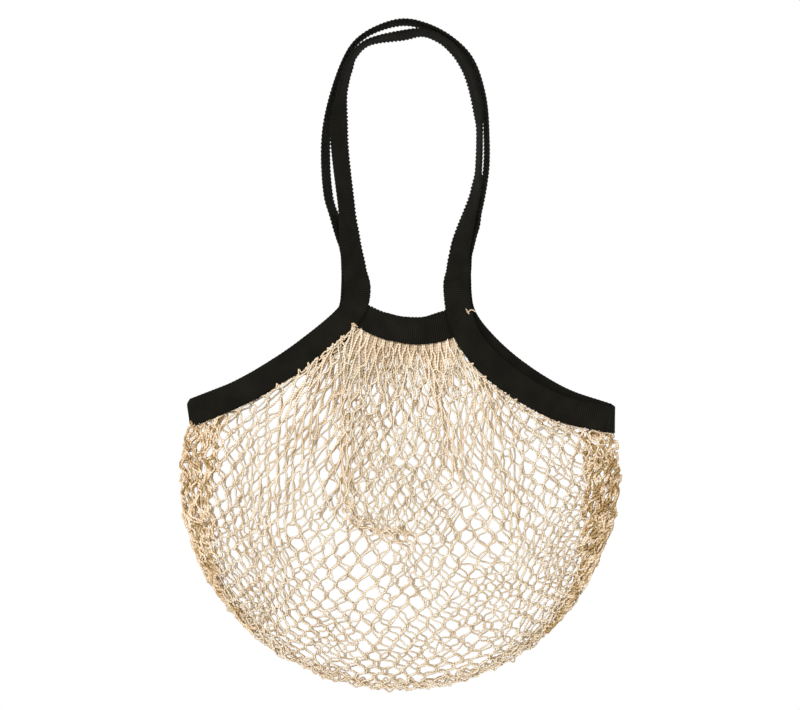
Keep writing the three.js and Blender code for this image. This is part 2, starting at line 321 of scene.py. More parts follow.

# Looks of the string: its colours where it is spread out, gathered and in painted shade (warmer and darker
# where strings are crowded together or lie deep), the painted shade at which it is darkest, its tones from
# painted shade in the grooves between two plies to their crowns, its paler and darker patches, and dark
# stretches of painted shade along one side of it
DARKEST_PAINTED_SHADE = 2.0
STRING_COLOURS = [(0.0, (0.952, 0.868, 0.722)), (0.5, (1.0, 0.83, 0.625)), (1.0, (0.5, 0.352, 0.16))]
PLIES = 2.0
PLY_LENGTH = 2.6
PLY_GROOVE_SHADE = [(0.04, (0.64, 0.56, 0.47)), (0.34, (0.92, 0.88, 0.82)), (0.8, (1, 1, 1))]
PATCH_SCALE = 45.0
PATCH_DETAIL = 2.0
PATCH_TONES = [(0.3, (0.84, 0.77, 0.68)), (0.6, (1.0, 1.0, 1.0))]
STRETCH_SCALE = 130.0
STRETCH_DETAIL = 1.0
STRETCH_SIDE = 0.5
STRETCH_SHADE_TONES = [(0.69, (1.0, 1.0, 1.0)), (0.95, (0.44, 0.345, 0.19))]
STRING_BUMP = (0.5, 0.0004)
STRING_ROUGHNESS = 0.9
STRING_SPECULAR = 0.1

# Looks of the tape: its ribs and yarns, its colour from painted shade in the valley to a painted highlight
# on the crest of a rib, and dusty patches
RIB_PITCH = 1.84
YARN_PITCH = 0.9
YARN_SHARE = 0.35
WEAVE_RELIEF = 0.37
RIB_SHADE_COLOURS = [(0.1, (0.0044, 0.0042, 0.003)), (0.95, (0.0132, 0.0122, 0.0088))]
DUST_SCALE = 60.0
DUST_DETAIL = 4.0
DUST_TONES = [(0.35, (0.75, 0.75, 0.75)), (0.7, (1.25, 1.21, 1.14))]
TAPE_BUMP = (0.6, 0.0004)
TAPE_ROUGHNESS = 0.95
TAPE_SPECULAR = 0.08

# Stage in metres, degrees and watts
FLOOR_HALF_SIZE = 6.0
FLOOR_HEIGHT = -0.0004
ROOM_BRIGHTNESS = 0.83
WINDOW_SIZE = 1.2
WINDOW_POWER = 28
WINDOW_PLACE = (-0.6, 0.6, 2.0)
WINDOW_TILT = 16
CAMERA_HEIGHT = 2.2
CAMERA_Y = 0.0009
SENSOR_WIDTH = 36
SEEN_WIDTH = 0.736
SEEN_HEIGHT = 0.008


# Curves

def curve_points(points):
    """Centripetal curve through points in plan, with any third value eased from point to point."""
    points = np.array(points, dtype=float)
    plan = points[:, :2]
    before = 2 * plan[0] - plan[1]
    after = 2 * plan[-1] - plan[-2]
    chain = np.vstack([before, plan, after])
    gaps = np.linalg.norm(np.diff(chain, axis=0), axis=1) ** 0.5
    t = np.linspace(0, 1, SPAN_STEPS, endpoint=False)[:, None]
    ease = t * t * (3 - 2 * t)
    spans = []
    for i in range(len(plan) - 1):
        p0, p1, p2, p3 = chain[i:i + 4]
        g0, g1, g2 = gaps[i:i + 3]
        m1 = g1 * ((p1 - p0) / g0 - (p2 - p0) / (g0 + g1) + (p2 - p1) / g1)
        m2 = g1 * ((p2 - p1) / g1 - (p3 - p1) / (g1 + g2) + (p3 - p2) / g2)
        bend = -3 * p1 + 3 * p2 - 2 * m1 - m2
        twist = 2 * p1 - 2 * p2 + m1 + m2
        span = p1 + m1 * t + bend * t ** 2 + twist * t ** 3
        extra = points[i, 2:] + (points[i + 1, 2:] - points[i, 2:]) * ease
        spans.append(np.hstack([span, extra]))
    spans.append(points[-1:])
    return np.vstack(spans)


def lengths_along(path):
    steps = np.linalg.norm(np.diff(path[:, :2], axis=0), axis=1)
    return np.concatenate([[0], np.cumsum(steps)])


def at_shares(path, shares):
    """Values of a path at shares of its length in plan."""
    along = lengths_along(path)
    wanted = np.asarray(shares, dtype=float) * along[-1]
    return np.column_stack([np.interp(wanted, along, path[:, k]) for k in range(path.shape[1])])


def unit(vectors):
    return vectors / np.maximum(np.linalg.norm(vectors, axis=-1, keepdims=True), LEAST_LENGTH)


def smooth_step(value):
    value = np.clip(value, 0, 1)
    return value * value * (3 - 2 * value)


def inward_of(path):
    """Direction in plan from a left-to-right path towards the net."""
    along = unit(np.gradient(path[:, :2], axis=0))
    return np.column_stack([along[:, 1], -along[:, 0]])


def beside_strap(route, shares, offset):
    """Points at an offset from the strap's middle, towards the net."""
    path = at_shares(curve_points(route), np.linspace(0, 1, ROUTE_SAMPLES))
    edge = path[:, :2] + inward_of(path) * offset
    picks = np.asarray(shares) * (len(edge) - 1)
    return np.column_stack([np.interp(picks, np.arange(len(edge)), edge[:, k]) for k in range(2)])


def waves(rng, count, shortest, longest):
    """A smooth random function of place in plan, about one high."""
    lengths = rng.uniform(shortest, longest, count)
    headings = rng.uniform(0, FULL_TURN, count)
    phases = rng.uniform(0, FULL_TURN, count)

    def value(x, y):
        total = np.zeros_like(x)
        for length, heading, phase in zip(lengths, headings, phases):
            run = (x * math.cos(heading) + y * math.sin(heading)) / length
            total += np.sin(FULL_TURN * run + phase)
        return total / math.sqrt(count)

    return value


def wander(rng, run, size, *lengths):
    """A random wave of a size along a string, made of several lengths."""
    total = np.zeros_like(run)
    for length in lengths:
        total += np.sin(FULL_TURN * (run / length + rng.uniform(0, 1)))
    return size * (total / math.sqrt(len(lengths)))


# Meshes

def make_object(name, points, faces, uvs, painted_shade, material):
    """An object from points in millimetres, four-cornered faces, a place on the thread for each corner and
    how much painted shade the strings get at each point, more where they are crowded."""
    mesh = bpy.data.meshes.new(name)
    points = (points.reshape(-1, 3) + PLACE) * MM
    mesh.vertices.add(len(points))
    mesh.vertices.foreach_set("co", points.ravel())
    mesh.loops.add(faces.size)
    mesh.loops.foreach_set("vertex_index", faces.ravel().astype(np.int32))
    mesh.polygons.add(len(faces))
    mesh.polygons.foreach_set("loop_start", np.arange(0, faces.size, 4, dtype=np.int32))
    layer = mesh.uv_layers.new(name="thread")
    layer.uv.foreach_set("vector", uvs.reshape(-1).astype(np.float32))
    attribute = mesh.attributes.new("painted_shade", "FLOAT", "POINT")
    attribute.data.foreach_set("value", painted_shade.astype(np.float32))
    mesh.update(calc_edges=True)
    mesh.shade_smooth()
    mesh.materials.append(material)
    piece = bpy.data.objects.new(name, mesh)
    bpy.context.scene.collection.objects.link(piece)
    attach(piece, "root")
    return piece


def grid_faces(strips, rows, sides, closed_along):
    """Faces of strips of rings, each ring closed round its sides."""
    last = rows if closed_along else rows - 1
    s, i, a = np.meshgrid(np.arange(strips), np.arange(last), np.arange(sides), indexing="ij")
    j = (i + 1) % rows
    b = (a + 1) % sides
    corners = [(s * rows + row) * sides + side for row, side in ((i, a), (i, b), (j, b), (j, a))]
    return np.stack(corners, axis=-1).reshape(-1, 4)


def grid_uvs(along, around, closed_along, total=None):
    """Place on the thread of every face corner: along has strips and rows, around has one value more than
    there are sides."""
    if closed_along:
        along = np.concatenate([along, np.full((len(along), 1), total)], axis=1)
    strips, rows = along.shape
    sides = len(around) - 1
    shape = (strips, rows - 1, sides)
    near = np.broadcast_to(along[:, :-1, None], shape)
    far = np.broadcast_to(along[:, 1:, None], shape)
    low = np.broadcast_to(around[None, None, :-1], shape)
    high = np.broadcast_to(around[None, None, 1:], shape)
    corners = [(near, low), (near, high), (far, high), (far, low)]
    return np.stack([np.stack(corner, axis=-1) for corner in corners], axis=-2)


def tubes(paths, radii, painted_shade):
    """Round skins along paths of equal point count: points, faces, places on the thread and painted shade."""
    strips, rows, _ = paths.shape
    along = unit(np.gradient(paths, axis=1))
    side = unit(np.cross(along, np.broadcast_to(UP, along.shape)) + NUDGE)
    top = np.cross(side, along)
    angles = np.linspace(0, FULL_TURN, STRING_SIDES, endpoint=False)
    ring = side[:, :, None] * np.cos(angles)[:, None] + top[:, :, None] * np.sin(angles)[:, None]
    points = paths[:, :, None] + ring * radii[:, :, None, None]
    run = np.linalg.norm(np.diff(paths, axis=1), axis=2)
    run = np.concatenate([np.zeros((strips, 1)), np.cumsum(run, axis=1)], axis=1)
    uvs = grid_uvs(run, np.linspace(0, 1, STRING_SIDES + 1), False)
    faces = grid_faces(strips, rows, STRING_SIDES, False)
    painted_shade = np.repeat(np.broadcast_to(painted_shade, radii.shape).ravel(), STRING_SIDES)
    return points.reshape(-1, 3), faces, uvs.reshape(-1, 2), painted_shade


def join(parts):
    """Several skins as one."""
    points, faces, uvs, painted_shade = zip(*parts)
    starts = np.cumsum([0] + [len(part) for part in points[:-1]])
    faces = [part + start for part, start in zip(faces, starts)]
    return tuple(np.concatenate(values) for values in (points, faces, uvs, painted_shade))


def string_net(strings):
    """One skin round all the strings of a list."""
    return join([tubes(*part) for part in strings])


# Materials

def new_material(name):
    material = bpy.data.materials.new(name)
    material.use_nodes = True
    nodes = material.node_tree.nodes
    return material, nodes, material.node_tree.links, nodes["Principled BSDF"]


def math_node(nodes, links, operation, first, second=None, third=None):
    node = nodes.new("ShaderNodeMath")
    node.operation = operation
    for socket, value in zip(node.inputs, (first, second, third)):
        if value is None:
            continue
        if isinstance(value, (int, float)):
            socket.default_value = value
        else:
            links.new(value, socket)
    return node.outputs[0]


def wave_node(nodes, links, operation, value, pitch):
    """Sine or cosine of a value, one wave for each pitch."""
    angle = math_node(nodes, links, "MULTIPLY", value, FULL_TURN / pitch)
    return math_node(nodes, links, operation, angle)


def ramp_node(nodes, links, factor, stops):
    node = nodes.new("ShaderNodeValToRGB")
    ramp = node.color_ramp
    while len(ramp.elements) < len(stops):
        ramp.elements.new(0.5)
    for element, (place, colour) in zip(ramp.elements, stops):
        element.position = place
        element.color = (*colour, 1)
    links.new(factor, node.inputs["Fac"])
    return node.outputs["Color"]


def noise_node(nodes, links, vector, scale, detail):
    node = nodes.new("ShaderNodeTexNoise")
    node.inputs["Scale"].default_value = scale
    node.inputs["Detail"].default_value = detail
    links.new(vector, node.inputs["Vector"])
    return node.outputs["Fac"]


def multiply_colours(nodes, links, first, second):
    node = nodes.new("ShaderNodeMix")
    node.data_type = "RGBA"
    node.blend_type = "MULTIPLY"
    node.inputs["Factor"].default_value = 1.0
    links.new(first, node.inputs["A"])
    links.new(second, node.inputs["B"])
    return node.outputs["Result"]


def thread_place(nodes, links):
    """Distance along the thread and place round it."""
    uv = nodes.new("ShaderNodeUVMap")
    uv.uv_map = "thread"
    parts = nodes.new("ShaderNodeSeparateXYZ")
    links.new(uv.outputs["UV"], parts.inputs["Vector"])
    return parts.outputs["X"], parts.outputs["Y"]


def bump_node(nodes, links, height, strength, distance):
    node = nodes.new("ShaderNodeBump")
    node.inputs["Strength"].default_value = strength
    node.inputs["Distance"].default_value = distance
    links.new(height, node.inputs["Height"])
    return node.outputs["Normal"]


def string_material():
    """Undyed cotton string of two plies: pale where it is spread out, with painted shade that makes it warmer
    and browner where strings are crowded together, painted shade in the grooves between the plies, and
    darker stretches of painted shade along one side."""
    material, nodes, links, shader = new_material("cotton_string")
    along, around = thread_place(nodes, links)
    # Painted shade: the string is made warmer and darker where strings are crowded together or lie deep, by
    # the attribute read here
    painted_shade = nodes.new("ShaderNodeAttribute")
    painted_shade.attribute_name = "painted_shade"
    crowded = math_node(nodes, links, "MULTIPLY", painted_shade.outputs["Fac"], 1 / DARKEST_PAINTED_SHADE)
    cotton = ramp_node(nodes, links, crowded, STRING_COLOURS)
    turns = math_node(nodes, links, "DIVIDE", along, PLY_LENGTH)
    phase = math_node(nodes, links, "MULTIPLY_ADD", around, PLIES, turns)
    crown = math_node(nodes, links, "MULTIPLY_ADD", wave_node(nodes, links, "SINE", phase, 1), 0.5, 0.5)
    place = nodes.new("ShaderNodeTexCoord").outputs["Object"]
    patch = noise_node(nodes, links, place, PATCH_SCALE, PATCH_DETAIL)
    # Painted shade in the grooves between the plies, full colour on their crowns
    ply_shade = ramp_node(nodes, links, crown, PLY_GROOVE_SHADE)
    tone = ramp_node(nodes, links, patch, PATCH_TONES)
    # Painted shade: dark stretches along one side of the string
    side = math_node(nodes, links, "MULTIPLY", wave_node(nodes, links, "COSINE", around, 1), -1.0)
    stretch = noise_node(nodes, links, place, STRETCH_SCALE, STRETCH_DETAIL)
    reach = math_node(nodes, links, "MULTIPLY_ADD", side, STRETCH_SIDE, stretch)
    shade = ramp_node(nodes, links, reach, STRETCH_SHADE_TONES)
    colour = multiply_colours(nodes, links, cotton, ply_shade)
    colour = multiply_colours(nodes, links, colour, tone)
    links.new(multiply_colours(nodes, links, colour, shade), shader.inputs["Base Color"])
    links.new(bump_node(nodes, links, crown, *STRING_BUMP), shader.inputs["Normal"])
    shader.inputs["Roughness"].default_value = STRING_ROUGHNESS
    shader.inputs["Specular IOR Level"].default_value = STRING_SPECULAR
    return material


def tape_material():
    """Warm black cotton tape with fine ribs across it, painted shade in their valleys and a painted highlight
    on their crests, and slightly dusty patches.
    """
    material, nodes, links, shader = new_material("black_tape")
    along, across = thread_place(nodes, links)
    rib = wave_node(nodes, links, "SINE", along, RIB_PITCH)
    yarn = wave_node(nodes, links, "SINE", across, YARN_PITCH)
    weave = math_node(nodes, links, "MULTIPLY_ADD", yarn, YARN_SHARE, rib)
    height = math_node(nodes, links, "MULTIPLY_ADD", weave, WEAVE_RELIEF, 0.5)
    place = nodes.new("ShaderNodeTexCoord").outputs["Object"]
    dust = noise_node(nodes, links, place, DUST_SCALE, DUST_DETAIL)
    # Painted shade in the rib valleys and a painted highlight on the crests
    ribs = ramp_node(nodes, links, height, RIB_SHADE_COLOURS)
    worn = ramp_node(nodes, links, dust, DUST_TONES)
    links.new(multiply_colours(nodes, links, ribs, worn), shader.inputs["Base Color"])
    links.new(bump_node(nodes, links, height, *TAPE_BUMP), shader.inputs["Normal"])
    shader.inputs["Roughness"].default_value = TAPE_ROUGHNESS
    shader.inputs["Specular IOR Level"].default_value = TAPE_SPECULAR
    return material


# Tape

def tape_contour():
    """Folded tape across its width: the fold on the outer side, two plies apart at the inner edge."""
    half = TAPE_WIDTH / 2
    lip = [(half - inset, out) for inset, out in LIP]
    fold = [(-half + inset, out) for inset, out in FOLD]
    slit = [(half - inset, out) for inset, out in SLIT]
    face = lip + CROWN + fold
    mirrored = [(across, -out) for across, out in reversed(face)]
    return np.array(face + [(-half, 0.0)] + mirrored + slit)


def strap_line(route, is_front):
    """Middle, inner-edge direction and face direction of the strap along one side of the bag."""
    path = curve_points(route)
    count = int(lengths_along(path)[-1] / TAPE_STEP)
    path = at_shares(path, np.linspace(0, 1, count))
    angle = np.radians(path[:, 2])[:, None]
    inward = np.column_stack([inward_of(path), np.zeros(count)])
    inner = inward * np.cos(angle) - UP * np.sin(angle)
    face = UP * np.cos(angle) + inward * np.sin(angle)
    on_edge = BACK_HEIGHT * np.cos(angle[:, 0]) + TAPE_WIDTH / 2 * np.sin(angle[:, 0])
    height = np.maximum(on_edge, FRONT_HEIGHT) if is_front else on_edge
    middle = np.column_stack([path[:, :2], height])
    return middle, inner, face if is_front else -face


def strap_turn(front, back, end, rounding):
    """The strap turning over from the front to the back at one end of the mouth."""
    index = -1 if end > 0 else 0
    outward = unit(front[0][index] - front[0][index - end])
    radius = (FRONT_HEIGHT - BACK_HEIGHT) / 2
    angle = np.linspace(0, math.pi, TURN_STEPS)[1:-1, None]
    middle = front[0][index] + (back[0][index] - front[0][index]) * angle / math.pi
    middle = middle + outward * radius * np.sin(angle)
    middle[:, 2] = BACK_HEIGHT + radius + radius * np.cos(angle[:, 0])
    inner = front[1][index] * (1 - rounding * np.sin(angle) ** 2) + outward * END_SKEW * np.sin(angle)
    face = UP * np.cos(angle) + outward * np.sin(angle)
    return middle, inner, face


def scallops(contour, run):
    """How far the edges of the tape stand out at each place along and round it, uneven along it."""
    phase = np.where(contour[:, 1] > 0, 0.0, LOWER_PLY_PHASE)
    scallop = 0.5 + 0.5 * np.sin(FULL_TURN * (run[:, None] / SCALLOP_PITCH + phase[None, :]))
    first, second = UNEVEN_LENGTHS
    unevenness = UNEVEN_MEAN + UNEVEN_SHARE * np.sin(run / first) * np.sin(run / second)
    return (scallop ** SCALLOP_POWER - SCALLOP_MEAN) * unevenness[:, None]


def tape_skin(middle, inner, face, is_ring, fold_bump):
    """Skin of a folded tape with a scalloped inner edge and a bumpy fold, kept above the ground."""
    contour = tape_contour()
    run = np.concatenate([[0], np.cumsum(np.linalg.norm(np.diff(middle, axis=0), axis=1))])
    at_edge = contour[:, 0] > TAPE_WIDTH / 2 - EDGE_BAND
    at_fold = contour[:, 0] < -TAPE_WIDTH / 2 + FOLD_BAND
    scallop = scallops(contour, run)
    across = contour[:, 0] + np.where(at_edge, SCALLOP_DEPTH * scallop, 0)
    across -= np.where(at_fold, fold_bump * scallop, 0)
    out = contour[:, 1] * (1 + np.where(at_edge | at_fold, SCALLOP_SWELL * scallop, 0))
    points = middle[:, None] + inner[:, None] * across[..., None] + face[:, None] * out[..., None]
    points[..., 2] = np.maximum(points[..., 2], 0)
    faces = grid_faces(1, len(middle), len(contour), is_ring)
    around = np.concatenate([contour[:, 0], contour[:1, 0]])
    uvs = grid_uvs(run[None], around, is_ring, run[-1] + TAPE_STEP)
    return points.reshape(-1, 3), faces, uvs.reshape(-1, 2), np.zeros(points.size // 3)


def strap_skin():
    """The whole strap as one ring, starting at its seam at the right end of the mouth."""
    front = strap_line(FRONT_ROUTE, True)
    back = strap_line(BACK_ROUTE, False)
    right = strap_turn(front, back, 1, 0)
    left = strap_turn(front, back, -1, LEFT_END_ROUNDING)
    runs = [right, [part[::-1] for part in back], [part[::-1] for part in left], front]
    middle, inner, face = (np.concatenate([run[k] for run in runs]) for k in range(3))
    return tape_skin(middle, inner, face, True, FOLD_BUMP)


def mouth_tape_skin(route, joints, height, tuck):
    """A mouth tape that sags between its ends and goes under the strap at both of them."""
    offset = TAPE_WIDTH / 2 - UNDER_STRAP
    ends = beside_strap(route, [joints["left_top"], joints["right_top"]], offset)
    top = curve_points([ends[0], *MOUTH_TOP, ends[1]])
    ends = beside_strap(route, [joints["left_low"], joints["right_low"]], offset)
    low = curve_points([ends[0], *MOUTH_LOW, ends[1]])
    count = int(lengths_along(low)[-1] / TAPE_STEP)
    shares = np.linspace(0, 1, count)
    upper = at_shares(top, shares)
    lower = at_shares(low, shares)
    from_end = np.minimum(shares, 1 - shares)
    drop = tuck * (1 - smooth_step((from_end - TUCKED_SHARE) / TUCK_EASE))
    middle = np.column_stack([(upper + lower) / 2, height + drop])
    inner = np.column_stack([lower - upper, np.zeros(count)]) / TAPE_WIDTH
    face = np.broadcast_to(UP * math.copysign(1, -tuck), inner.shape)
    return tape_skin(middle, inner, face, False, MOUTH_EDGE_BUMP)


# Plan of the net

def hang_line(route, joints):
    """Line along the lower edges of the tapes where the net comes out, and the shares of its corners."""
    half = TAPE_WIDTH / 2
    left = beside_strap(route, np.linspace(0, joints["left_low"], HANG_STEPS), half)
    right = beside_strap(route, np.linspace(joints["right_low"], 1, HANG_STEPS), half)
    low = curve_points([left[-1], *MOUTH_LOW, right[0]])
    left_end = left[0] + unit(left[0] - left[1]) * END_OVERHANG
    right_end = right[-1] + unit(right[-1] - right[-2]) * END_OVERHANG
    line = np.vstack([left_end, left, low, right, right_end])
    along = lengths_along(line) / lengths_along(line)[-1]
    return line, along[len(left)], along[-len(right) - 1]


def spread_over(column, values):
    """Values listed at the column marks, between them in proportion."""
    return np.interp(column, COLUMN_MARKS, values)


def at_mouth(column):
    """One for columns that hang from the mouth tape, falling to nothing just beside it."""
    beside = np.maximum(COLUMN_MARKS[3] - column, column - COLUMN_MARKS[4])
    return 1 - smooth_step(beside / MOUTH_FADE)


def in_strip(column):
    """One for columns in the side strips, falling to nothing just inside them."""
    inside = np.minimum(column, COLUMNS - column) - COLUMN_MARKS[1]
    return 1 - smooth_step((inside + STRIP_MARGIN) / STRIP_FADE)


def laps(column):
    """How far columns lie over the edge of the left side tape: further towards the mouth."""
    first, last = LAP_COLUMNS
    share = LAP_START + (1 - LAP_START) * (column - first) / (last - first)
    return np.where((column > first) & (column < last), share, 0.0)


def on_outline(angle, inside):
    """Points at a distance inside the round outline of the net, which is drawn in at the lower right."""
    drawn_in = DRAWN_IN * np.exp(-((angle - DRAWN_IN_ANGLE) / DRAWN_IN_SPREAD) ** 2)
    radius = NET_RADIUS - drawn_in - inside
    heading = np.column_stack([np.cos(np.radians(angle)), np.sin(np.radians(angle))])
    return NET_CENTRE + heading * np.reshape(radius, (-1, 1))


def net_plan(route, joints, column, down, lap):
    """Place in plan of the net at column numbers and shares of the way down, with its edge lapped over."""
    line, left_corner, right_corner = hang_line(route, joints)
    left_middle = STRIP_SHARE + SIDE_SPREAD * (left_corner - STRIP_SHARE)
    right_middle = 1 - STRIP_SHARE - SIDE_SPREAD * (1 - STRIP_SHARE - right_corner)
    shares = [0, STRIP_SHARE, left_middle, left_corner, right_corner, right_middle, 1 - STRIP_SHARE, 1]
    line = at_shares(line, np.linspace(0, 1, HANG_SAMPLES))
    flat = column.ravel()
    hung = at_shares(np.hstack([line, inward_of(line)]), spread_over(flat, shares))
    mouth = hung[:, :2] - hung[:, 2:] * lap * laps(flat)[:, None]
    half_way = np.column_stack([spread_over(flat, HALF_WAY_X), spread_over(flat, HALF_WAY_Y)])
    foot = on_outline(spread_over(flat, FOOT_ANGLES), 0)
    t = down.reshape(-1, 1)
    plan = mouth * (1 - t) * (1 - 2 * t) + half_way * 4 * t * (1 - t) + foot * t * (2 * t - 1)
    return plan.reshape(*column.shape, 2)


def row_shares(column, row):
    """Share of the way down of every row, which is nothing before the row that a column starts with."""
    start = spread_over(column, START_ROWS)
    past = np.maximum(row - start, 0)
    first = FIRST_ROW_AT_SIDES + (FIRST_ROW_AT_MOUTH - FIRST_ROW_AT_SIDES) * at_mouth(column)
    rest = 1 - (1 - np.maximum(past - 1, 0) / (ROWS - 1 - start)) ** FOOT_CROWDING
    return first * np.minimum(past, 1) + (1 - first) * rest


def pleat_pull(plan, pleat):
    """How far each place moves towards a pleat."""
    line = at_shares(curve_points(pleat), np.linspace(0, 1, PLEAT_SAMPLES))
    away = plan[..., None, :] - line
    distance = np.linalg.norm(away, axis=-1)
    nearest = distance.argmin(axis=-1)
    offset = np.take_along_axis(away, nearest[..., None, None], axis=-2)[..., 0, :]
    gap = distance.min(axis=-1)[..., None]
    return -PLEAT_PULL * offset * np.exp(-(gap / PLEAT_WIDTH) ** 2)


def lies_together(column, down):
    """One in the middle of the patch where the back lies together with the front, falling to nothing."""
    beside = (column - PATCH_MIDDLE[0]) / PATCH_REACH[0]
    below = (down - PATCH_MIDDLE[1]) / PATCH_REACH[1]
    return np.exp(-beside ** 2 - below ** 2)


def net_height(layer, column, down, inside, rng):
    """Height of the knots of one layer: layers meet at the outline, and the first knots lie at the tapes."""
    rise = np.sqrt(1 - (1 - inside) ** 2)
    height = MIDDLE_HEIGHT + layer * rise * (NET_FRONT_HEIGHT - NET_BACK_HEIGHT) / 2
    jitter = HEIGHT_JITTER + STRIP_HEIGHT_JITTER * in_strip(column)
    height += jitter * rng.normal(0, 1, height.shape) * np.where(rise > 0, 1, 0)
    height -= STRIP_DROP * layer * in_strip(column) * rise
    height = np.clip(height, STRING_RADIUS, FRONT_HEIGHT)
    edge = np.full(height.shape, EDGE_HEIGHTS[layer])
    if layer > 0:
        edge = np.where(laps(column) > 0, OVER_TAPE_HEIGHT, edge)
    return np.where(down > 0, height, edge)


def net_grid(route, joints, layer, rng, shared, part=WHOLE_NET):
    """Knot places by half column and row for one layer of the net: 1 the front, -1 the back, 0 a fold."""
    first, last, rows, shift = part
    half_columns = np.arange(2 * first, 2 * last + 1)
    half_column, row = np.meshgrid(half_columns, np.arange(rows + 1), indexing="ij")
    column = half_column / 2
    shared = shared[2 * first:2 * last + 1, :rows + 1]
    down = row_shares(column, row)
    gather = at_mouth(column) * (1 - smooth_step(down / GATHER_REACH)) * np.where(row > 0, 1, 0)
    down = down + GATHER_UNEVENNESS * gather * rng.normal(0, 1, down.shape)
    from_side = np.minimum(column, COLUMNS - column) / OUTLINE_COLUMNS
    inside = np.minimum(1, from_side) * np.minimum(1, (1 - down) * FOOT_EASE)
    free = inside * np.minimum(1, down * TAPE_EASE)
    if layer < 0:
        column = column + BACK_SHIFT * inside * (1 - lies_together(column, down))
    column = column + shift
    plan = net_plan(route, joints, column, down, LAP if layer > 0 else 0.0)
    if layer == 0:
        plan[..., 0] *= 1 - (1 - FOLD_NARROWING) * np.minimum(1, down * FOLD_EASE) * at_mouth(column)
    for axis in range(2):
        drift = waves(rng, DRIFT_WAVES, *DRIFT_LENGTHS)
        plan[..., axis] += DRIFT * free * drift(plan[..., 0], plan[..., 1])
        plan[..., axis] += rng.normal(0, KNOT_JITTER, column.shape) * free
        plan[..., axis] += shared[..., axis] * (1 - inside) * np.minimum(1, down * OUTLINE_EASE)
    if layer >= 0:
        for pleat in PLEATS:
            plan += pleat_pull(plan, pleat) * free[..., None]
    height = net_height(layer, column, down, inside, rng)
    return np.concatenate([plan, height[..., None]], axis=2), down, in_strip(column)


# Strings of the net

def taper_ends(radii):
    radii[:, [0, -1]] *= END_TAPER
    return radii


def zigzag(columns, rows):
    """Half column and row of every knot along the strings, and the side on which a string passes it."""
    string = np.arange(columns - 1)[:, None]
    row = np.broadcast_to(np.arange(rows), (columns - 1, rows))
    step = (string + row) % 2
    return string + step, row, np.where(step == 0, 1.0, -1.0)[..., None]


def string_legs(knot, reach, direction, aside, shut, rng):
    """Points along the strings from every knot up to the next: slack legs that bow and sway, less where the
    net is closed."""
    start = knot[:, :-1] + reach[:, :-1]
    finish = knot[:, 1:] - reach[:, 1:]
    aside = aside[:, :-1]
    shut = shut[:, :-1, None]
    chord = np.linalg.norm(finish - start, axis=2, keepdims=True)
    slack = np.sqrt(np.maximum((LEG_LENGTH - KNOT_LENGTH) ** 2 - chord ** 2, 0)) * SLACK_SHARE
    least = LEAST_SLACK + CLOSED_SLACK * shut
    slack = np.clip(slack, least, MOST_SLACK * chord + least)
    turn = rng.uniform(0, FULL_TURN, slack.shape)
    bow = aside * np.cos(turn) + UP * BOW_HEIGHT * np.sin(turn)
    sway = LEG_SWAY * rng.normal(0, 1, slack.shape) * (1 - CLOSED_STEADINESS * shut)
    sway = aside * sway
    pull = LEG_PULL * chord
    leg = []
    for t in LEG_POINTS:
        h1 = 2 * t ** 3 - 3 * t ** 2 + 1
        h2 = t ** 3 - 2 * t ** 2 + t
        h3 = -2 * t ** 3 + 3 * t ** 2
        h4 = t ** 3 - t ** 2
        point = h1 * start + h2 * pull * direction[:, :-1] + h3 * finish + h4 * pull * direction[:, 1:]
        leg.append(point + bow * slack * math.sin(math.pi * t) + sway * math.sin(FULL_TURN * t))
    return np.stack([knot[:, :-1], start, *leg, finish], axis=2)


def tucked_in(path, radius, crowd_shade, direction):
    """Strings led into the tape that they hang from or over its edge, thicker where they are gathered."""
    tuck = np.where(path[:, :1, 2:] > FRONT_HEIGHT, LAP_TUCK, TUCK_INTO_TAPE)
    lead = path[:, :1] - direction[:, None] * tuck
    lead[..., 2] = np.maximum(lead[..., 2], STRING_RADIUS)
    path = np.concatenate([lead, path], axis=1)
    radius = np.concatenate([radius[:, :1], radius], axis=1)
    crowd_shade = np.concatenate([crowd_shade[:, :1], crowd_shade], axis=1)
    radius[:, :HEAD_POINTS] *= 1 + HEAD_THICKENING * np.minimum(crowd_shade[:, :HEAD_POINTS], 1)
    return path, taper_ends(radius), crowd_shade


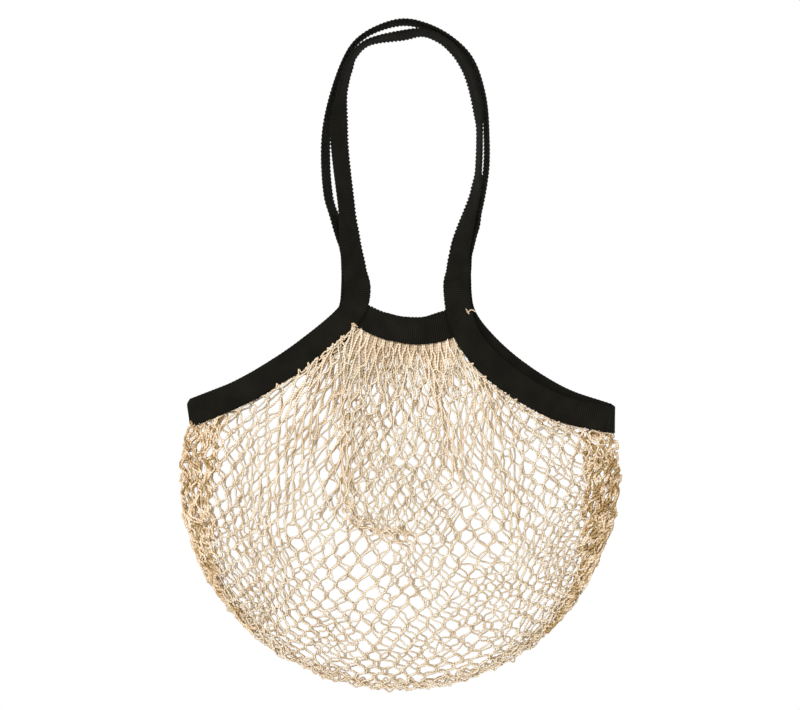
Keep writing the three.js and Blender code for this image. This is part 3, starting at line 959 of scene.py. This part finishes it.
def net_strings(grid, down, strip, rng):
    """Zigzag strings through the knots of one layer, those that start at the same row together: paths, radii
    and painted shade."""
    across = unit(np.gradient(grid, axis=0))
    along = unit(np.gradient(grid, axis=1))
    pitch = np.linalg.norm(np.gradient(grid, axis=1), axis=2)
    width = 2 * np.linalg.norm(np.gradient(grid[..., :2], axis=0), axis=2)
    closed = np.maximum(1 - smooth_step((width - CLOSED_WIDTH) / CLOSED_EASE), STRIP_CLOSED * strip)
    # Share of painted shade at each knot: closed strings get the shade that falls between crowded strings
    knot_shade_share = np.maximum(1 - smooth_step((width - CLOSED_WIDTH) / SHADE_EASE), STRIP_CLOSED * strip)
    at, row, side = zigzag(*down.shape)
    aside = across[at, row]
    direction = along[at, row]
    shut = closed[at, row]
    knot = grid[at, row] + aside * side * STRING_RADIUS * KNOT_OFFSET
    half_knot = np.minimum(KNOT_LENGTH / 2, KNOT_SHARE * pitch[at, row])
    gathered = rng.uniform(*GATHERED_SHARES, len(at)) * shut[:, 0] * pitch[at, row][:, 0]
    half_knot[:, 0] = np.maximum(half_knot[:, 0], gathered)
    legs = string_legs(knot, half_knot[..., None] * direction, direction, aside, shut, rng)
    per_row = legs.shape[2]
    paths = np.concatenate([legs.reshape(len(at), -1, 3), knot[:, -1:]], axis=1)
    paths += rng.normal(0, STRING_JITTER, paths.shape)
    paths[..., 2] = np.maximum(paths[..., 2], STRING_RADIUS)
    points = paths.shape[1]
    thick = np.repeat(shut, per_row, axis=1)[:, :points]
    radii = STRING_RADIUS * (1 + CLOSED_THICKENING * thick) * (1 + rng.normal(0, RADIUS_JITTER, thick.shape))
    depth = np.clip((NET_FRONT_HEIGHT - paths[..., 2]) / (NET_FRONT_HEIGHT - NET_BACK_HEIGHT), 0, 1)
    point_shade_share = np.repeat(knot_shade_share[at, row], per_row, axis=1)[:, :points]
    # Painted shade: closed strings are darkened and warmed, deeper ones more
    painted_shade = point_shade_share * (CLOSED_PAINTED_SHADE + DEPTH_PAINTED_SHADE * depth)
    hidden = down[at, row] <= 0
    start = hidden.shape[1] - 1 - hidden[:, ::-1].argmax(axis=1)
    groups = []
    for first_row in np.unique(start):
        group = np.flatnonzero(start == first_row)
        first = per_row * first_row
        shown = [values[group, first:] for values in (paths, radii, painted_shade)]
        groups.append(tucked_in(*shown, direction[group, first_row]))
    return groups


# Single strings

def rim_strings(rng):
    """Strings that run along the foot of the net and draw its edge together."""
    angle = np.linspace(*RIM_ANGLES, RIM_STEPS)
    run = np.radians(angle) * NET_RADIUS
    paths = np.zeros((RIM_STRINGS, RIM_STEPS, 3))
    for k in range(RIM_STRINGS):
        inside = RIM_INSET + RIM_SPACING * k - wander(rng, run, *RIM_ASIDE)
        paths[k, :, :2] = on_outline(angle, inside)
        paths[k, :, 2] = np.clip(RIM_HEIGHT + wander(rng, run, *RIM_RISE), STRING_RADIUS, FRONT_HEIGHT)
    radii = taper_ends(np.full((RIM_STRINGS, RIM_STEPS), STRING_RADIUS))
    return paths, radii, np.array(RIM_PAINTED_SHADE)


def side_ropes(rng, strip):
    """Strings twisted in pairs along the round outline of one side, where the net is crowded together."""
    paths = []
    painted_shade = []
    for k in range(ROPES):
        angle = np.linspace(strip["start"], ROPE_ENDS[k], ROPE_STEPS)
        width = np.interp(angle, ROPE_ANGLES, strip["widths"])
        inset = ROPE_RADIUS + OUTER_MARGIN + TOP_INSET * np.exp((strip["start"] - angle) / TOP_INSET_FADE)
        run = np.radians(angle - strip["start"]) * NET_RADIUS
        angle = MIRROR_ANGLE - angle if strip["mirrored"] else angle
        middle = inset + (width - inset - INNER_MARGIN) * k / (ROPES - 1) + wander(rng, run, *ROPE_ASIDE)
        turn = FULL_TURN * (run / ROPE_TURN + rng.uniform(0, 1)) + wander(rng, run, *ROPE_TWIST)
        height = ROPE_HEIGHT + wander(rng, run, *ROPE_RISE)
        height = height - START_DROP * (1 - smooth_step(run / START_LENGTH))
        radius = ROPE_RADIUS * (1 + wander(rng, run, *ROPE_WIDENING))
        for strand in (0, math.pi):
            inside = middle + radius * np.sin(turn + strand) + wander(rng, run, *STRAND_ASIDE)
            plan = on_outline(angle, np.maximum(inside, LEAST_INSIDE))
            paths.append(np.column_stack([plan, height + np.cos(turn + strand)]))
            # Painted shade along each strand: the side's level, darker and lighter in random stretches
            painted_shade.append(strip["rope_shade"] + wander(rng, run, *STRAND_SHADE))
    thickness = ROPE_STRING_FACTOR + rng.normal(0, ROPE_STRING_JITTER, (len(paths), ROPE_STEPS))
    return np.array(paths), taper_ends(STRING_RADIUS * thickness), np.clip(painted_shade, 0, DARKEST_PAINTED_SHADE)


def edge_loops(rng, first, last, tip, pitch, depth):
    """A string that runs along the edge of the strap and rises over it in narrow, leaning tips."""
    path = at_shares(curve_points(FRONT_ROUTE), np.linspace(first, last, LOOP_STEPS))
    run = lengths_along(path)
    place = (run[-1] - run) / pitch + wander(rng, run, *LOOP_SHIFT) + rng.uniform(0, 1)
    phase = place - np.floor(place)
    tip_heights = rng.uniform(*TIP_HEIGHTS, TIP_DRAWS)
    rise = smooth_step(1 - np.abs(phase - 0.5) / LOOP_SHARE)
    rise = rise * tip_heights[np.floor(place).astype(int) + FIRST_TIP]
    offset = TAPE_WIDTH / 2 + tip + depth * (1 - rise) + wander(rng, run, *LOOP_ASIDE)
    along = unit(np.gradient(path[:, :2], axis=0))
    plan = path[:, :2] + inward_of(path) * offset[:, None] + along * LOOP_LEAN * rise[:, None]
    height = OVER_TAPE_HEIGHT - np.maximum(0, offset - TAPE_WIDTH / 2)
    radii = taper_ends(LOOP_STRING_FACTOR * STRING_RADIUS * (1 - LOOP_NARROWING * rise[None]))
    return np.column_stack([plan, height])[None], radii, np.array(LOOP_PAINTED_SHADE)


def fold_edge(rng):
    """Strings crowded together along the edge of the fold in the front of the net."""
    plan = at_shares(curve_points(FOLD_EDGE), np.linspace(0, 1, FOLD_STEPS))
    run = lengths_along(plan)
    paths = []
    for k in range(FOLD_STRINGS):
        aside = FOLD_SPACING * (k - FOLD_STRINGS // 2) + wander(rng, run, *FOLD_ASIDE)
        height = np.clip(FOLD_HEIGHT + wander(rng, run, *FOLD_RISE), STRING_RADIUS, FRONT_HEIGHT)
        paths.append(np.column_stack([plan + inward_of(plan) * aside[:, None], height]))
    radii = taper_ends(np.full((FOLD_STRINGS, FOLD_STEPS), STRING_RADIUS))
    return np.array(paths), radii, np.array(FOLD_PAINTED_SHADE)


def loose_thread():
    """A loose end of string that lies on the right of the mouth."""
    shares = np.linspace(0, 1, THREAD_POINTS)
    height = np.full(THREAD_POINTS, OVER_TAPE_HEIGHT)
    plans = [at_shares(curve_points(line), shares) for line in LOOSE_THREAD]
    paths = np.array([np.column_stack([plan, height]) for plan in plans])
    return paths, np.full(paths.shape[:2], THREAD_RADIUS), np.array(0.0)


# Stage

def make_floor():
    mesh = bpy.data.meshes.new("floor")
    size = FLOOR_HALF_SIZE
    corners = [(-size, -size, 0), (size, -size, 0), (size, size, 0), (-size, size, 0)]
    mesh.from_pydata(corners, [], [(0, 1, 2, 3)])
    floor = bpy.data.objects.new("floor", mesh)
    bpy.context.scene.collection.objects.link(floor)
    floor.location.z = FLOOR_HEIGHT
    material = bpy.data.materials.new("white_ground")
    material.use_nodes = True
    nodes = material.node_tree.nodes
    nodes.clear()
    glow = nodes.new("ShaderNodeEmission")
    glow.inputs["Strength"].default_value = 1.0
    output = nodes.new("ShaderNodeOutputMaterial")
    material.node_tree.links.new(glow.outputs[0], output.inputs["Surface"])
    mesh.materials.append(material)


def make_lights():
    world = bpy.data.worlds.new("white_room")
    world.use_nodes = True
    world.node_tree.nodes["Background"].inputs["Strength"].default_value = ROOM_BRIGHTNESS
    world.node_tree.nodes["Background"].inputs["Color"].default_value = (1.0, 1.0, 1.0, 1)
    bpy.context.scene.world = world
    lamp = bpy.data.lights.new("window", "AREA")
    lamp.size = WINDOW_SIZE
    lamp.energy = WINDOW_POWER
    window = bpy.data.objects.new("window", lamp)
    window.location = WINDOW_PLACE
    window.rotation_euler = (-math.radians(WINDOW_TILT), -math.radians(WINDOW_TILT), 0)
    bpy.context.scene.collection.objects.link(window)


def make_camera():
    """A camera straight above that sees a known width at a known height."""
    camera = bpy.data.cameras.new("camera")
    camera.sensor_width = SENSOR_WIDTH
    camera.lens = SENSOR_WIDTH * (CAMERA_HEIGHT - SEEN_HEIGHT) / SEEN_WIDTH
    eye = bpy.data.objects.new("camera", camera)
    eye.location = (0.0, CAMERA_Y, CAMERA_HEIGHT)
    bpy.context.scene.collection.objects.link(eye)
    bpy.context.scene.camera = eye
    bpy.context.scene.view_settings.view_transform = "Standard"


# The bag

def make_tapes(tape):
    front_tape = mouth_tape_skin(FRONT_ROUTE, FRONT_JOINTS, FRONT_HEIGHT, -TUCK_DEPTH)
    back_tape = mouth_tape_skin(BACK_ROUTE, BACK_JOINTS, BACK_HEIGHT, TUCK_DEPTH)
    cloths = {
        "strap": make_object("strap_tape", *strap_skin(), tape),
        "mouth_tape_front": make_object("mouth_tape_front_cloth", *front_tape, tape),
        "mouth_tape_back": make_object("mouth_tape_back_cloth", *back_tape, tape),
    }
    for node, piece in cloths.items():
        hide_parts(node)


def folded_layers(parts, rng, shared):
    """Strings of the folded layers of the front."""
    layers = []
    for part in parts:
        layers += net_strings(*net_grid(FRONT_ROUTE, FRONT_JOINTS, 0, rng, shared, part), rng)
    return layers


def make_net(string):
    """The net, with all its random draws in a fixed order."""
    rng = np.random.default_rng(SEED)
    shared = rng.normal(0, OUTLINE_JITTER, (2 * COLUMNS + 1, ROWS + 1, 2))
    front = net_strings(*net_grid(FRONT_ROUTE, FRONT_JOINTS, 1, rng, shared), rng)
    back = net_strings(*net_grid(BACK_ROUTE, BACK_JOINTS, -1, rng, shared), rng)
    folds = folded_layers(FOLDS, rng, shared)
    loops = [edge_loops(rng, *row) for row in EDGE_LOOPS]
    folds.append(fold_edge(rng))
    ropes = [side_ropes(rng, strip) for strip in (LEFT_STRIP, RIGHT_STRIP)]
    edges = [rim_strings(rng), *ropes, *loops]
    folds += folded_layers(SIDE_FOLDS, rng, shared)
    nets = [
        make_object("net_front", *string_net([*front, loose_thread()]), string),
        make_object("net_back", *string_net(back), string),
        make_object("net_fold", *string_net(folds), string),
        make_object("net_edges", *string_net(edges), string),
    ]
    for piece in nets:
        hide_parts("net")


def main():
    make_camera()
    make_lights()
    make_floor()
    string = string_material()
    tape = tape_material()
    make_tapes(tape)
    make_net(string)


main()
